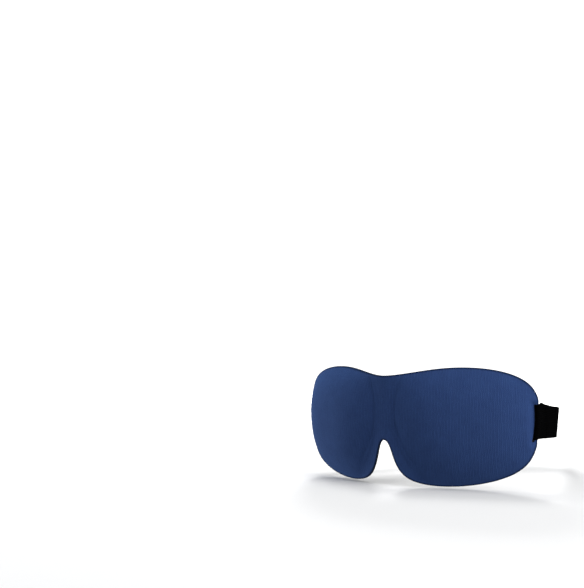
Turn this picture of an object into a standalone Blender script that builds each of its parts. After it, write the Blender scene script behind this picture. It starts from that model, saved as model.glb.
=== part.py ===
"""Contoured sleep mask: three moulded layers, an elastic head strap and its slider.

Frame: origin on the front of the nose bridge, midway between the eye domes.
+X runs towards the lobe on the strap's sewn end, the front faces -Y, the strap
hangs back along +Y and +Z is up. Dimensions are millimetres; MM makes them metres.
"""

import math

import bmesh
import bpy
import numpy as np
from mathutils import Matrix, Vector

MM = 0.001

# Flat pattern of one half: control points of a closed cubic B-spline, from the
# middle of the brow, round the temple end, to the top of the nose notch.
HALF_OUTLINE = (
    (6.0, 38.7),
    (24.5, 41.4),
    (51.5, 45.6),
    (84.5, 44.2),
    (108.5, 35.8),
    (115.0, 20.8),
    (114.8, -4.7),
    (108.5, -26.0),
    (81.5, -38.1),
    (45.0, -42.3),
    (17.2, -38.4),
    (8.0, -23.6),
    (4.4, -7.6),
)
SPOKES_PER_SPAN = 3
BRIDGE_SPOKES = 6

# Bend of the pattern in plan: both lobes sweep back from the nose bridge.
SWEEP = math.radians(22.7)
BEND_HALF_WIDTH = 8.3
# The strap's pull curls the temple ends back a little further.
TEMPLE_CURL = math.radians(7.0)
CURL_START, CURL_END = 92.0, 116.0

# Eye domes.
EYE_U = 58.2
DOME_HEIGHT = 13.2
DOME_POWER = 2.66
RIM_LAND = 1.4
# Inner foot of each dome: a parabola, nearest the bridge at FOOT_V.
FOOT_U, FOOT_V, FOOT_CURVE = 9.0, 14.0, 0.0095
FOOT_FILLET = 1.1
FIELD_STEP = 1.0
RIM_BAND = 3.2
DOME_RINGS = (0.0, 0.22, 0.4, 0.55, 0.67, 0.76, 0.83, 0.88, 0.92, 0.96, 1.0)
BAND_RINGS = (0.5, 1.0)

# Layers, measured back from the front of the cover.
SKIN = 0.8
LAYER_GAP = 0.55
LINING_GAP = 0.8
RIM_FOAM = 0.9
PAD_BULGE = 2.8
PAD_EDGE = 9.0
CUP_FOAM = 2.4
CUP_EDGE = 0.46
CUP_FOOT = 0.8

# Strap slots, near the temple ends.
SLOT_U = 111.2
SLOT_WIDTH = 2.0
SLOT_HEIGHT = 26.2
SLOT_Z = 5.3

# Elastic strap. RUN is the distance behind the rim along the straight side run.
STRAP_HEIGHT = 25.0
STRAP_THICK = 1.0
STRAP_OUT = 2.2
STRAP_LIFT = 1.7
STRAP_FALL = 13.5
BACK_CENTRE_Y = 185.0
BACK_RADIUS = 35.0
BACK_STEPS = 14
LAYER_PITCH = STRAP_THICK + 0.3
SEWN_START = 22.0
SEWN_END = 38.0
RIGHT_LOOP_END = 42.0
LEFT_LOOP_END = 105.0
CUT_GAP = 0.3

# Slider (tri-glide) at rest.
SLIDER_RUN = 42.0
SLIDER_LENGTH = 18.0
BAR_THICK = 1.8
END_BAR_WIDTH = 2.4
RAIL_HEIGHT = 2.4
RAIL_CLEAR = 0.5
END_BAR_OUT = STRAP_THICK / 2 + 0.3 + BAR_THICK / 2
CENTRE_BAR_IN = STRAP_THICK * 1.5 + 0.5 + BAR_THICK / 2

# Bar tacks.
TACK_HEIGHT = 20.0
TACK_WIDTH = 2.2
TACK_THICK = 0.5

COLOURS = {
    "front_cover": ((0.026, 0.055, 0.16), 0.85, 0.0),
    "foam_core": ((0.03, 0.03, 0.035), 0.95, 0.0),
    "lining": ((0.008, 0.008, 0.009), 0.9, 0.0),
    "elastic": ((0.006, 0.006, 0.007), 0.8, 0.0),
    "slider": ((0.01, 0.01, 0.011), 0.35, 0.0),
    "thread": ((0.012, 0.012, 0.013), 0.7, 0.0),
}


def clear_scene():
    for obj in list(bpy.data.objects):
        bpy.data.objects.remove(obj, do_unlink=True)


def new_collection(name, hidden=False):
    collection = bpy.data.collections.new(name)
    bpy.context.scene.collection.children.link(collection)
    collection.hide_render = hidden
    return collection


def material(slot):
    if slot in bpy.data.materials:
        return bpy.data.materials[slot]
    colour, roughness, metallic = COLOURS[slot]
    made = bpy.data.materials.new(slot)
    made.use_nodes = True
    shader = made.node_tree.nodes["Principled BSDF"]
    shader.inputs["Base Color"].default_value = (*colour, 1.0)
    shader.inputs["Roughness"].default_value = roughness
    shader.inputs["Metallic"].default_value = metallic
    return made


def smoothstep(low, high, value):
    t = min(max((value - low) / (high - low), 0.0), 1.0)
    return t * t * (3.0 - 2.0 * t)


def spline_point(points, position):
    """Point of the uniform cubic B-spline; whole positions are knots."""
    start = int(math.floor(position))
    t = position - start
    weights = (
        (1 - t) ** 3 / 6,
        (3 * t**3 - 6 * t**2 + 4) / 6,
        (-3 * t**3 + 3 * t**2 + 3 * t + 1) / 6,
        t**3 / 6,
    )
    u = sum(w * points[start + k][0] for k, w in enumerate(weights))
    v = sum(w * points[start + k][1] for k, w in enumerate(weights))
    return u, v


def half_outline(per_span):
    """Outline from the brow's middle to the notch's top, on the +u side."""
    first = [(-u, v) for u, v in HALF_OUTLINE[1::-1]]
    last = [(-u, v) for u, v in HALF_OUTLINE[:-3:-1]]
    points = first + list(HALF_OUTLINE) + last
    spans = len(HALF_OUTLINE)
    steps = spans * per_span
    found = []
    for k in range(steps + 1):
        found.append(spline_point(points, 0.5 + spans * k / steps))
    return found


def bend_table(step=0.25, reach=130.0):
    """Plan position of the bent sheet at every step of the flat pattern."""
    rows = [(0.0, 0.0)]
    x, y = 0.0, 0.0
    for k in range(int(reach / step)):
        middle = (k + 0.5) * step
        angle = heading(middle)
        x += math.cos(angle) * step
        y += math.sin(angle) * step
        rows.append((x, y))
    return rows, step


def heading(u):
    return SWEEP * math.tanh(u / BEND_HALF_WIDTH) + TEMPLE_CURL * smoothstep(CURL_START, CURL_END, u)


BEND_ROWS, BEND_STEP = bend_table()
RIM_POINTS = half_outline(24)


def bent(u, v, height):
    """World point of a flat-pattern point raised by height off the bent sheet."""
    u = max(u, 0.0)
    place = u / BEND_STEP
    row = min(int(place), len(BEND_ROWS) - 2)
    part = place - row
    x = BEND_ROWS[row][0] * (1 - part) + BEND_ROWS[row + 1][0] * part
    y = BEND_ROWS[row][1] * (1 - part) + BEND_ROWS[row + 1][1] * part
    angle = heading(u)
    if u > 0.0:
        x += height * math.sin(angle)
    return Vector((x, y - height * math.cos(angle), v)) * MM


def to_rim(u, v):
    return min(math.hypot(u - a, v - b) for a, b in RIM_POINTS)


def inside_outline(u, v):
    """True where grid points lie inside the lobe's outline."""
    ring = RIM_POINTS + [(0.0, RIM_POINTS[-1][1]), (0.0, RIM_POINTS[0][1])]
    inside = np.zeros(u.shape, bool)
    for (u0, v0), (u1, v1) in zip(ring, ring[1:] + ring[:1]):
        if v0 != v1:
            crosses = (v0 > v) != (v1 > v)
            inside ^= crosses & (u < u0 + (u1 - u0) * (v - v0) / (v1 - v0))
    return inside


def blown_field():
    """Height share of a membrane blown up evenly and held down outside its foot."""
    us = np.arange(-6.0, 120.0, FIELD_STEP)
    vs = np.arange(-48.0, 52.0, FIELD_STEP)
    u, v = np.meshgrid(us, vs, indexing="ij")
    rim = np.full(u.shape, 1000.0)
    for a, b in RIM_POINTS:
        rim = np.minimum(rim, np.hypot(u - a, v - b))
    rim = np.where(inside_outline(u, v), rim, -rim)
    foot = u - (FOOT_U + FOOT_CURVE * (v - FOOT_V) ** 2)
    load = np.clip(np.minimum(rim - RIM_LAND, foot) + 0.5, 0.0, 1.0)
    hold = (1.0 - load) / FOOT_FILLET**2
    height = np.zeros_like(u)
    left = load.copy()
    step = left.copy()
    power = float((left * left).sum())
    while power > 1e-9 * load.size:
        edged = np.pad(step, 1)
        around = edged[2:, 1:-1] + edged[:-2, 1:-1] + edged[1:-1, 2:] + edged[1:-1, :-2]
        pull = (4.0 * step - around) / FIELD_STEP**2 + hold * step
        reach = power / float((step * pull).sum())
        height += reach * step
        left -= reach * pull
        new_power = float((left * left).sum())
        step = left + step * (new_power / power)
        power = new_power
    return us, vs, height / height.max()


FIELD_U, FIELD_V, FIELD = blown_field()


def cubic_weights(t):
    return (
        ((2.0 - t) * t - 1.0) * t / 2.0,
        (t * t * (3.0 * t - 5.0) + 2.0) / 2.0,
        ((4.0 - 3.0 * t) * t + 1.0) * t / 2.0,
        (t - 1.0) * t * t / 2.0,
    )


def crown_distance(u, v):
    """0 at the dome's crown and 1 at its foot and beyond."""
    x = (u - FIELD_U[0]) / FIELD_STEP
    y = (v - FIELD_V[0]) / FIELD_STEP
    i, j = int(x), int(y)
    share = 0.0
    for a, wide in enumerate(cubic_weights(x - i)):
        for b, high in enumerate(cubic_weights(y - j)):
            share += wide * high * FIELD[i + a - 1, j + b - 1]
    return math.sqrt(min(max(1.0 - share, 0.0), 1.0))


def spokes():
    """Each spoke: its rim point and the share of it inside the rim band."""
    rim = half_outline(SPOKES_PER_SPAN)
    top, notch = rim[0][1], rim[-1][1]
    for k in range(1, BRIDGE_SPOKES):
        rim.append((0.0, notch + (top - notch) * k / BRIDGE_SPOKES))
    return [(max(u, 0.0), v, 1.0 - RIM_BAND / math.hypot(u - EYE_U, v)) for u, v in rim]


def dome(s):
    return DOME_HEIGHT * max(1.0 - s**DOME_POWER, 0.0)


def slot_press(u, v):
    """Share by which the strip around the strap slot is flattened, from 0 to 1."""
    across = smoothstep(SLOT_U - 6.0, SLOT_U - 0.2, u)
    return across * (1.0 - smoothstep(STRAP_HEIGHT / 2 + 0.5, STRAP_HEIGHT / 2 + 7.0, abs(v - SLOT_Z)))


def foam_front(s, u, v):
    return cover_front(s, u, v) - SKIN - LAYER_GAP


def foam_back(s, u, v):
    rim = -SKIN - LAYER_GAP - RIM_FOAM
    pad = rim - PAD_BULGE * smoothstep(0.0, PAD_EDGE, to_rim(u, v))
    cup = dome(s) - SKIN - LAYER_GAP - CUP_FOAM
    share = smoothstep(CUP_EDGE, CUP_FOOT, s)
    return cup * (1 - share) + pad * share


def cover_front(s, u, v):
    return dome(s) * (1.0 - slot_press(u, v))


def lining_front(s, u, v):
    return foam_back(s, u, v) - LINING_GAP


def half_sheet(mesh, height, flip=False):
    """Polar grid of one lobe, open at the middle plane. Returns its rows."""
    rows = []
    middle = crown_distance(EYE_U, 0.0)
    centre = mesh.verts.new(bent(EYE_U, 0.0, height(middle, EYE_U, 0.0)))
    for rim_u, rim_v, share in spokes():
        row = []
        stations = [ring * share for ring in DOME_RINGS[1:]]
        stations += [share + (1 - share) * ring for ring in BAND_RINGS]
        for along in stations:
            u = EYE_U + (rim_u - EYE_U) * along
            v = rim_v * along
            row.append(mesh.verts.new(bent(u, v, height(crown_distance(u, v), u, v))))
        rows.append(row)
    count = len(rows)
    for i in range(count):
        first, second = rows[i], rows[(i + 1) % count]
        faces = [(centre, second[0], first[0])]
        for j in range(len(first) - 1):
            faces.append((first[j], second[j], second[j + 1], first[j + 1]))
        for face in faces:
            mesh.faces.new(face[::-1] if flip else face)
    return rows


def finish_object(name, mesh, collection, slot):
    data = bpy.data.meshes.new(name)
    mesh.to_mesh(data)
    mesh.free()
    data.materials.append(material(slot))
    obj = bpy.data.objects.new(name, data)
    collection.objects.link(obj)
    return obj


def shade(obj, degrees=35.0):
    obj.data.shade_smooth()
    obj.data.set_sharp_from_angle(angle=math.radians(degrees))


def mirror_modifier(obj):
    mirror = obj.modifiers.new("Mirror", "MIRROR")
    mirror.use_axis = (True, False, False)
    mirror.merge_threshold = 0.00001
    return mirror


def cut(obj, cutters):
    for cutter in cutters:
        boolean = obj.modifiers.new("Cut_" + cutter.name, "BOOLEAN")
        boolean.operation = "DIFFERENCE"
        boolean.object = cutter


def make_skin(name, height, collection, cutters):
    """A thin fabric skin: an open half sheet, mirrored, then thickened backwards."""
    mesh = bmesh.new()
    half_sheet(mesh, height)
    obj = finish_object(name, mesh, collection, name)
    mirror_modifier(obj)
    solidify = obj.modifiers.new("Thickness", "SOLIDIFY")
    solidify.thickness = SKIN * MM
    solidify.offset = -1.0
    cut(obj, cutters)
    shade(obj)
    return obj


def make_foam(collection, cutters):
    """The moulded foam: a loft from its front sheet to its back sheet."""
    mesh = bmesh.new()
    front = half_sheet(mesh, foam_front)
    back = half_sheet(mesh, foam_back, flip=True)
    outline_rows = SPOKES_PER_SPAN * len(HALF_OUTLINE)
    for i in range(outline_rows):
        mesh.faces.new((front[i][-1], front[i + 1][-1], back[i + 1][-1], back[i][-1]))
    obj = finish_object("foam_core", mesh, collection, "foam_core")
    mirror_modifier(obj)
    cut(obj, cutters)
    shade(obj)
    return obj


def rim_frame(side):
    """Matrix of the temple end: x outwards along the lobe, y to the front, z up."""
    corner = bent(end_reach(), 0.0, 0.0)
    angle = heading(end_reach())
    out = Vector((math.cos(angle), math.sin(angle), 0.0))
    front = Vector((math.sin(angle), -math.cos(angle), 0.0))
    out.x *= side
    front.x *= side
    corner.x *= side
    frame = Matrix.Identity(4)
    for row in range(3):
        frame[row][0] = out[row]
        frame[row][1] = front[row]
        frame[row][3] = corner[row]
    return frame


def end_reach():
    return max(u for u, _ in RIM_POINTS)


def slot_cutter(name, side, collection):
    """Cutter for one strap slot, square to the lobe and rounded at its ends."""
    bpy.ops.mesh.primitive_cube_add(size=1.0)
    cutter = bpy.context.object
    cutter.name = name
    size = (SLOT_WIDTH * MM, 30.0 * MM, SLOT_HEIGHT * MM)
    cutter.data.transform(Matrix.Diagonal((*size, 1.0)))
    place = Vector(((SLOT_U - end_reach()) * MM, 0.0, SLOT_Z * MM))
    frame = rim_frame(side)
    cutter.location = frame @ place
    cutter.rotation_euler = (0.0, 0.0, side * heading(end_reach()))
    for old in list(cutter.users_collection):
        old.objects.unlink(cutter)
    collection.objects.link(cutter)
    cutter.hide_render = True
    cutter.display_type = "WIRE"
    return cutter


def tangent_point():
    """Where the straight side run meets the arc at the back of the strap."""
    start = strap_start()
    across, along = start.x, BACK_CENTRE_Y - start.y
    reach = math.hypot(across, along)
    turn = math.acos(BACK_RADIUS / reach) - math.atan2(along, across)
    return Vector((BACK_RADIUS * math.cos(turn), BACK_CENTRE_Y + BACK_RADIUS * math.sin(turn)))


def strap_start():
    """Plan point, in millimetres, where the strap's outer leg passes the rim."""
    point = rim_frame(1) @ Vector((STRAP_OUT * MM, 0.0, 0.0))
    return Vector((point.x / MM, point.y / MM))


def run_direction():
    return (tangent_point() - strap_start()).normalized()


def run_length():
    return (tangent_point() - strap_start()).length


def strap_height_at(run):
    """Height of the strap's centre line: it sags towards the back of the loop."""
    return SLOT_Z + STRAP_LIFT - STRAP_FALL * max(run, 0.0) / run_length()


def run_point(run, inward=0.0):
    """Plan point on the right-hand side run, inward of its centre line."""
    direction = run_direction()
    normal = Vector((direction.y, -direction.x))
    return strap_start() + direction * run - normal * inward


def rim_point(out, front):
    point = rim_frame(1) @ Vector((out * MM, front * MM, 0.0))
    return Vector((point.x / MM, point.y / MM))


def arc(centre, radius, start, end, steps):
    found = []
    for k in range(steps + 1):
        angle = math.radians(start + (end - start) * k / steps)
        found.append((centre[0] + radius * math.cos(angle), centre[1] + radius * math.sin(angle)))
    return found


def hook_points():
    """Strap round the rim, from behind the slot over the rim to its outer leg."""
    slot = SLOT_U - end_reach()
    bend = 1.6
    over = LAYER_GAP + STRAP_THICK / 2 + 0.6
    path = [(slot, -7.5), (slot, -4.0), (slot, over - bend)]
    path += arc((slot + bend, over - bend), bend, 180.0, 90.0, 4)[1:]
    path += arc((STRAP_OUT - bend, over - bend), bend, 90.0, 0.0, 4)
    return [rim_point(a, b) for a, b in path]


def inner_leg():
    """From alongside the outer leg, forwards to the back of the slot."""
    far = [run_point(SEWN_END, LAYER_PITCH), run_point(SEWN_START, LAYER_PITCH)]
    return far


def ribbon(name, plan, heights, side, collection):
    """A standing band of elastic along a plan path, thickened on both sides."""
    mesh = bmesh.new()
    rows = []
    for point, height in zip(plan, heights):
        low = height - STRAP_HEIGHT / 2
        high = height + STRAP_HEIGHT / 2
        x = side * point.x
        pair = [mesh.verts.new(Vector((x, point.y, z)) * MM) for z in (low, high)]
        rows.append(pair)
    for first, second in zip(rows, rows[1:]):
        mesh.faces.new((first[0], second[0], second[1], first[1]))
    obj = finish_object(name, mesh, collection, "elastic")
    solidify = obj.modifiers.new("Thickness", "SOLIDIFY")
    solidify.thickness = STRAP_THICK * MM
    solidify.offset = 0.0
    solidify.use_even_offset = True
    shade(obj)
    return obj


def make_strap(collection):
    hook = hook_points()
    slot_heights = [SLOT_Z] * 3 + [SLOT_Z + STRAP_LIFT * k / (len(hook) - 4) for k in range(len(hook) - 3)]
    length = run_length()

    inner = inner_leg()
    inner_heights = [strap_height_at(SEWN_END), strap_height_at(SEWN_START)]
    right = inner + hook + [run_point(RIGHT_LOOP_END)]
    right_heights = inner_heights + slot_heights + [strap_height_at(RIGHT_LOOP_END)]
    ribbon("strap_loop_right", right, right_heights, 1, collection)

    left = [inner[1]] + hook + [run_point(LEFT_LOOP_END)]
    left_heights = [inner_heights[1]] + slot_heights + [strap_height_at(LEFT_LOOP_END)]
    ribbon("strap_loop_left", left, left_heights, -1, collection)

    for name, start, side in (
        ("strap_side_right", RIGHT_LOOP_END, 1),
        ("strap_side_left", LEFT_LOOP_END, -1),
    ):
        runs = (start + CUT_GAP, length - CUT_GAP)
        plan = [run_point(run) for run in runs]
        ribbon(name, plan, [strap_height_at(run) for run in runs], side, collection)

    tangent = tangent_point()
    first = math.atan2(tangent.y - BACK_CENTRE_Y, tangent.x)
    plan = []
    for k in range(BACK_STEPS + 1):
        angle = first + (math.pi - 2 * first) * k / BACK_STEPS
        x = BACK_RADIUS * math.cos(angle)
        plan.append(Vector((x, BACK_CENTRE_Y + BACK_RADIUS * math.sin(angle))))
    ribbon("strap_back", plan, [strap_height_at(length)] * len(plan), 1, collection)

    turn = 1.6
    near = SLIDER_RUN - 15.0
    bar = SLIDER_RUN + 1.5
    layers = [(SEWN_START + CUT_GAP, LAYER_PITCH), (bar, LAYER_PITCH)]
    for along, inward in arc((bar, LAYER_PITCH + turn), turn, -90.0, 90.0, 6)[1:]:
        layers.append((along, inward))
    layers += [(SLIDER_RUN - 3.0, LAYER_PITCH + 2 * turn)]
    layers += [(SLIDER_RUN - 7.5, 2 * LAYER_PITCH), (near, 2 * LAYER_PITCH)]
    plan = [run_point(run, inward) for run, inward in layers]
    heights = [strap_height_at(run) for run, _ in layers]
    ribbon("strap_adjuster", plan, heights, -1, collection)


def run_frame(run, side):
    """Matrix on the side run: x along the strap, y outwards, z across its width."""
    along = run_direction()
    drop = -STRAP_FALL / run_length()
    x_axis = Vector((side * along.x, along.y, drop)).normalized()
    y_axis = Vector((side * along.y, -along.x, 0.0)).normalized()
    z_axis = x_axis.cross(y_axis)
    if z_axis.z < 0.0:
        z_axis.negate()
    place = run_point(run)
    frame = Matrix.Identity(4)
    for row in range(3):
        frame[row][0] = x_axis[row]
        frame[row][1] = y_axis[row]
        frame[row][2] = z_axis[row]
    frame.translation = Vector((side * place.x, place.y, strap_height_at(run))) * MM
    return frame


def block(name, size, centre, collection, slot):
    bpy.ops.mesh.primitive_cube_add(size=1.0)
    obj = bpy.context.object
    obj.name = name
    shape = Matrix.Translation(Vector(centre) * MM) @ Matrix.Diagonal((*[s * MM for s in size], 1.0))
    obj.data.transform(shape)
    obj.data.materials.append(material(slot))
    for old in list(obj.users_collection):
        old.objects.unlink(obj)
    collection.objects.link(obj)
    return obj


def place_upright(obj, frame):
    """Sets the frame on an object, turning its faces back if the frame mirrors."""
    if frame.determinant() < 0.0:
        frame = frame @ Matrix.Diagonal((1.0, -1.0, 1.0, 1.0))
        obj.data.transform(Matrix.Diagonal((1.0, -1.0, 1.0, 1.0)))
        obj.data.flip_normals()
    obj.matrix_world = frame


def make_slider(collection, cutters):
    """Ladder slider: two rails, two end bars outside the strap, one bar inside."""
    inner = CENTRE_BAR_IN + BAR_THICK / 2
    outer = END_BAR_OUT + BAR_THICK / 2
    depth = inner + outer
    middle = (outer - inner) / 2
    rail_z = STRAP_HEIGHT / 2 + RAIL_CLEAR + RAIL_HEIGHT / 2
    height = 2 * rail_z + RAIL_HEIGHT
    frame = run_frame(SLIDER_RUN, -1)
    body = block("slider", (SLIDER_LENGTH, depth, height), (0, middle, 0), collection, "slider")
    window = 2 * rail_z - RAIL_HEIGHT
    opening = SLIDER_LENGTH / 2 - END_BAR_WIDTH
    tools = []
    tunnel = depth - BAR_THICK + 2.0
    tools.append(("slider_inside", (SLIDER_LENGTH + 2, tunnel, window), outer - BAR_THICK - tunnel / 2))
    tools.append(("slider_front", (2 * opening, 4 * BAR_THICK, window), outer))
    for name, size, y in tools:
        tool = block(name, size, (0, y, 0), cutters, "slider")
        tool.hide_render = True
        tool.display_type = "WIRE"
        place_upright(tool, frame)
        boolean = body.modifiers.new("Cut_" + name, "BOOLEAN")
        boolean.operation = "DIFFERENCE"
        boolean.object = tool
    bar = block(
        "slider_bar",
        (END_BAR_WIDTH, BAR_THICK, window + RAIL_HEIGHT),
        (0, -CENTRE_BAR_IN, 0),
        cutters,
        "slider",
    )
    bar.hide_render = True
    bar.display_type = "WIRE"
    place_upright(bar, frame)
    place_upright(body, frame)
    union = body.modifiers.new("Centre_bar", "BOOLEAN")
    union.operation = "UNION"
    union.object = bar
    bevel = body.modifiers.new("Edges", "BEVEL")
    bevel.width = 0.35 * MM
    bevel.segments = 1
    bevel.limit_method = "ANGLE"
    return body


def make_tack(name, run, inward, side, collection):
    """One bar tack: a raised bar of thread on the strap's inner face."""
    size = (TACK_WIDTH, TACK_THICK, TACK_HEIGHT)
    depth = inward + STRAP_THICK / 2 + 0.3 + TACK_THICK / 2
    tack = block(name, size, (0, -depth, 0), collection, "thread")
    place_upright(tack, run_frame(run, side))
    return tack


def build():
    clear_scene()
    parts = new_collection("sleep_mask")
    cutters = new_collection("cutters", hidden=True)
    slots = [
        slot_cutter("slot_right", 1, cutters),
        slot_cutter("slot_left", -1, cutters),
    ]
    make_skin("front_cover", cover_front, parts, slots)
    make_foam(parts, slots)
    make_skin("lining", lining_front, parts, slots)
    make_strap(parts)
    make_slider(parts, cutters)
    make_tack("bar_tack_right", (SEWN_START + SEWN_END) / 2, LAYER_PITCH, 1, parts)
    make_tack("bar_tack_slider", SLIDER_RUN - 11.0, 2 * LAYER_PITCH, -1, parts)


build()
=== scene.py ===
import math

import bmesh
import bpy
import numpy as np
from mathutils import Matrix, Vector, noise


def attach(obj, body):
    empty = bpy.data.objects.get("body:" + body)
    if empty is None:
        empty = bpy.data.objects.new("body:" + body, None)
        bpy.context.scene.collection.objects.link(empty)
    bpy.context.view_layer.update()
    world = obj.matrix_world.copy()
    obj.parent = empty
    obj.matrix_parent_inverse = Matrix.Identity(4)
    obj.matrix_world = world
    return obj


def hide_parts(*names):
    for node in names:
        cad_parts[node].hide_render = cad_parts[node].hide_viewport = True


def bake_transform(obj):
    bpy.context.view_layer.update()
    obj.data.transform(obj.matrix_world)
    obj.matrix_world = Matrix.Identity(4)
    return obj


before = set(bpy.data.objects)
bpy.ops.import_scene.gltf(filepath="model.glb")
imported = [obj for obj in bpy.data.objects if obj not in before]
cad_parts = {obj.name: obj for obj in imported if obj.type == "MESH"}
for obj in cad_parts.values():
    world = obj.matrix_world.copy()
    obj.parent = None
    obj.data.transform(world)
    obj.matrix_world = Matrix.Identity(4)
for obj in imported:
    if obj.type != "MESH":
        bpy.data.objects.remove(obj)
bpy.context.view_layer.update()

MM = 0.001

# ---------------------------------------------------------------- mask shape
# The flat pattern, bend and domes of the CAD model, in millimetres. Here, to follow the
# photograph more closely, the rim bulges a little more above the strap slot, the strip
# at the rim is a little narrower, and the dome's foot is softer low down by the notch.
HALF_OUTLINE = (
    (6.0, 38.7),
    (24.5, 41.4),
    (51.5, 45.6),
    (84.5, 44.2),
    (108.5, 35.8),
    (116.8, 20.4),
    (114.8, -4.7),
    (108.5, -26.0),
    (81.5, -38.1),
    (45.0, -42.3),
    (17.2, -38.4),
    (8.0, -23.6),
    (4.4, -7.6),
)
SWEEP = math.radians(22.7)
BEND_HALF_WIDTH = 8.3
TEMPLE_CURL = math.radians(7.0)
CURL_START, CURL_END = 92.0, 116.0
EYE_U = 58.2
EYE_TO_RIM = 40.0
DOME_HEIGHT = 13.2
DOME_POWER = 2.66
RIM_LAND = 1.2
FOOT_U, FOOT_V, FOOT_CURVE = 9.0, 14.0, 0.0095
# The fillet at the dome's foot, and how much wider it is low down by the nose notch.
FOOT_FILLET = 1.1
SOFT_FILLET = 4.0
# A fine welt outside the foot and a groove inside it: their height and depth, their
# half width and their places past the foot.
CREASE_RISE, CREASE_SINK = 0.42, 0.32
CREASE_WIDTH = 1.1
WELT_PLACE, GROOVE_PLACE = -1.6, 0.5
# Slow unevenness of the moulded knit.
WANDER_HEIGHT, WANDER_SIZE, WANDER_SEED = 0.25, 22.0, 3.1
BEND_STEP = 0.1
GRID_STEP = 0.75
SPOKES_PER_SPAN = 14
BRIDGE_SPOKES = 30
RINGS = 44
# This many further rings share this width next to the rim.
RIM_RINGS = 6
RIM_BAND = 3.0

# Layers of the moulded mask, from the cover's front to the lining's back. The foam and
# the lining start 0.05 inside the layer before them, so that no gap shows.
COVER_THICK = 0.6
FOAM_START = 0.55
# The foam's back: this deep at the rim, and PAD_BULGE deeper from PAD_EDGE inwards.
RIM_BACK = 1.0
PAD_BULGE = 4.2
PAD_EDGE = 9.0
# The eye cup lies this far behind the dome's front and ends between these dome shares.
CUP_WALL = 3.4
CUP_EDGE, CUP_FOOT = 0.46, 0.8
LINING_THICK = 0.55
LINING_OVERLAP = 0.05
# How far each layer's rounded rim stands out of the outline.
COVER_ROUND = COVER_THICK / 2
FOAM_ROUND = 0.2
LINING_ROUND = LINING_THICK / 2

# The strap, its slots and its slider, as in the CAD model, apart from SLOT_U, which is
# 0.2 further out. END_REACH is the outermost point of the CAD outline.
END_REACH = 114.6345
SLOT_U = 111.4
SLOT_Z = 5.3
STRAP_HEIGHT = 25.0
STRAP_THICK = 1.0
# The side run starts this far outside the rim and above the slot's middle, and falls
# this much on its way to the back.
STRAP_OUT = 2.2
STRAP_LIFT = 1.7
STRAP_FALL = 13.5
BACK_CENTRE_Y = 185.0
BACK_RADIUS = 35.0
# Pitch of the strap's layers, and places along the side run, from its start at the rim.
LAYER_PITCH = 1.3
SEWN_START = 22.0
SEWN_END = 38.0
SLIDER_RUN = 42.0
# Bend of the adjuster layer round the slider's centre bar.
BAR_TURN = 1.6
SLIDER_LENGTH = 18.0
BAR_THICK = 1.8
END_BAR_WIDTH = 2.4
RAIL_HEIGHT = 2.4
RAIL_CLEAR = 0.5
END_BAR_OUT = STRAP_THICK / 2 + 0.3 + BAR_THICK / 2
CENTRE_BAR_IN = STRAP_THICK * 1.5 + 0.5 + BAR_THICK / 2
TACK_WIDTH, TACK_HEIGHT = 2.2, 20.0

# The rest is finer than in the CAD model.
# The strap's hook over the rim: its bend in the slot, its bend outside the rim, the
# place of its front stretch and of its outermost point.
SLOT_TURN, RIM_TURN = 0.9, 1.3
HOOK_FRONT, HOOK_OUT = -0.15, 0.2
# The strap's top edge turns outwards by TWIST between these two places along y.
TWIST = math.radians(6.0)
TWIST_START, TWIST_END = 140.0, 205.0
# Distance of the stations along the strap and along its adjuster layer, and the turn
# from one to the next, in radians, above which the strap keeps every one.
STRAP_STEP, ADJUSTER_STEP = 0.5, 0.6
TURN_LIMIT = 0.012
# The elastic's ribs, and its narrow edge as a share of its thickness from the middle.
RIBS = 19
POINTS_PER_RIB = 4
RIB_DEPTH = 0.09
EDGE_SHARE = 0.28
# How far the strap presses the rim back and in, how far inward of the slot that starts
# and is full, and how far past the strap's edges it starts to fade and ends.
BITE_BACK, BITE_IN = 0.9, 0.9
BITE_START, BITE_FULL = 4.2, 0.4
BAND_FADE, BAND_END = 0.2, 4.5
SLIDER_ROUND = 0.55
# The stitching's thread: its radius, its passes, and for points along each pass the
# share of the way and how high it lies off the strap.
THREAD_RADIUS = 0.17
TACK_PASSES = 30
PASS_SHAPE = ((0.0, -0.12), (0.25, 0.16), (0.75, 0.16))


def smoothstep(low, high, value):
    t = np.clip((np.asarray(value, float) - low) / (high - low), 0.0, 1.0)
    return t * t * (3.0 - 2.0 * t)


def spline_point(points, position):
    """Point on the cubic B-spline of the control points, with position counted in spans."""
    start = int(math.floor(position))
    t = position - start
    weights = (
        (1 - t) ** 3 / 6,
        (3 * t**3 - 6 * t**2 + 4) / 6,
        (-3 * t**3 + 3 * t**2 + 3 * t + 1) / 6,
        t**3 / 6,
    )
    u = sum(w * points[start + k][0] for k, w in enumerate(weights))
    v = sum(w * points[start + k][1] for k, w in enumerate(weights))
    return u, v


def half_outline(per_span):
    """Outline from the brow's middle round to the notch's top, on the +u side."""
    first = [(-u, v) for u, v in HALF_OUTLINE[1::-1]]
    last = [(-u, v) for u, v in HALF_OUTLINE[:-3:-1]]
    points = first + list(HALF_OUTLINE) + last
    spans = len(HALF_OUTLINE)
    steps = spans * per_span
    return [spline_point(points, 0.5 + spans * k / steps) for k in range(steps + 1)]


def heading(u):
    """Direction of the bent sheet in plan, from the +x axis towards +y."""
    u = np.asarray(u, float)
    return SWEEP * np.tanh(u / BEND_HALF_WIDTH) + TEMPLE_CURL * smoothstep(CURL_START, CURL_END, u)


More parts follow.
